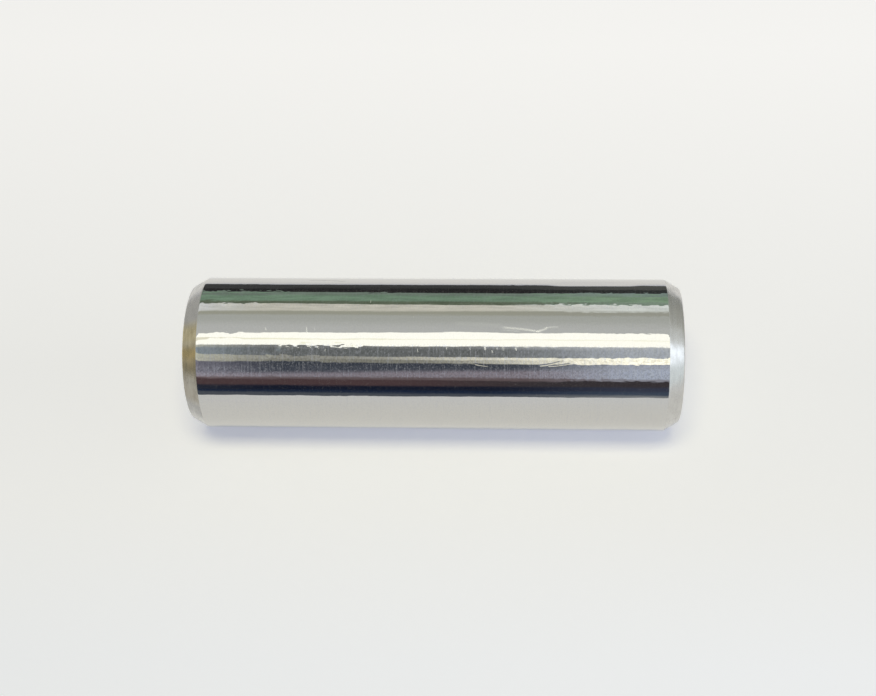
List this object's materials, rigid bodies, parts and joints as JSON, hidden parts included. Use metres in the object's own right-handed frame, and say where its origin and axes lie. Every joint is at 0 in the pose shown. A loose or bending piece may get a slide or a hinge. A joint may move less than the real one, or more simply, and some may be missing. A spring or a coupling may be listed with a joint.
{
  "type": "dowel pin",
  "caption": "Parallel steel dowel pin: a ground cylindrical barrel with a short turned chamfer and a flat face at each end.",
  "frame": {"origin": "centre of the end face that the pin stands on", "axes": "+Z along the pin's axis, towards the other end face; the pin is round about Z, so +X and +Y are free"},
  "size_m": [0.01, 0.01, 0.032],
  "materials": {
    "ground_steel": "bright ground barrel with satin turned ends"
  },
  "bodies": {
    "root": {"dowel_pin": "ground_steel"}
  },
  "joints": []
}
